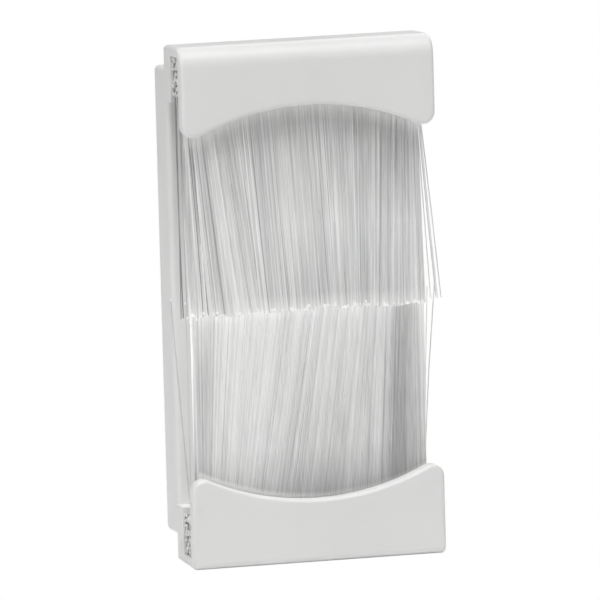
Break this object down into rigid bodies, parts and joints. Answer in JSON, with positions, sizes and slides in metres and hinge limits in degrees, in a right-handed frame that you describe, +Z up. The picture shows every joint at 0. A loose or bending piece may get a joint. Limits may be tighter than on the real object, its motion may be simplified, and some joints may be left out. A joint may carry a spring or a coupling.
{
  "type": "brush cable grommet",
  "caption": "White plastic wall plate module: arched jaws on a rear frame hold facing curtains of clear filaments that let cables through and keep dust and draughts out.",
  "frame": {"origin": "middle of the plane on which the jaws seat against the wall plate, at mid width and mid height", "axes": "+X across the face, +Y into the wall, +Z up from the lower jaw to the upper jaw"},
  "size_m": [0.025, 0.0104, 0.0499],
  "materials": {
    "white_plastic": "satin moulded",
    "bonded_filament": "cut ends of clear filaments set in adhesive",
    "clear_filament": "clear drawn filament"
  },
  "bodies": {
    "root": {"housing": "white_plastic", "upper_bristle_root": "bonded_filament", "lower_bristle_root": "bonded_filament", "upper_bristles": "clear_filament", "lower_bristles": "clear_filament"}
  },
  "joints": []
}
